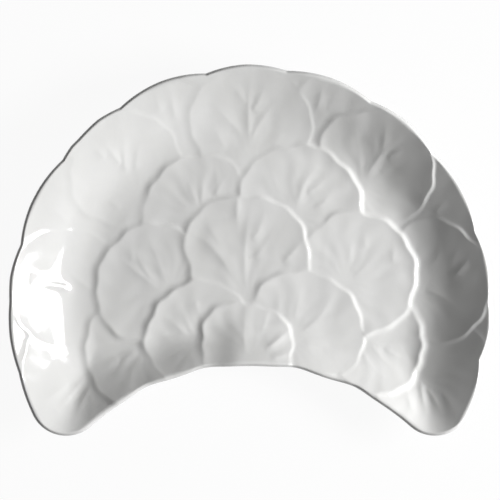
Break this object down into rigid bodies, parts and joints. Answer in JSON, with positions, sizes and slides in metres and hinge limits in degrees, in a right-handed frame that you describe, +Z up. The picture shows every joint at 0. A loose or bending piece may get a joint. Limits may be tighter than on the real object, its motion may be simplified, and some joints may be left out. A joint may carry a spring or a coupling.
{
  "type": "crescent salad plate",
  "caption": "Crescent side plate of glazed white porcelain with a relief of overlapping leaves, a scalloped rim and a kidney-shaped foot ring, set beside a round dinner plate.",
  "frame": {"origin": "under the middle of the plate's outline, at the height of the table it stands on", "axes": "+X from the left horn to the right horn, +Y from the hollow inner edge to the back of the rim, +Z up"},
  "size_m": [0.2158, 0.1659, 0.0272],
  "materials": {
    "glazed_porcelain": "gloss",
    "bare_porcelain": "matte"
  },
  "bodies": {
    "root": {"plate": "glazed_porcelain", "foot_ring": "bare_porcelain"}
  },
  "joints": []
}
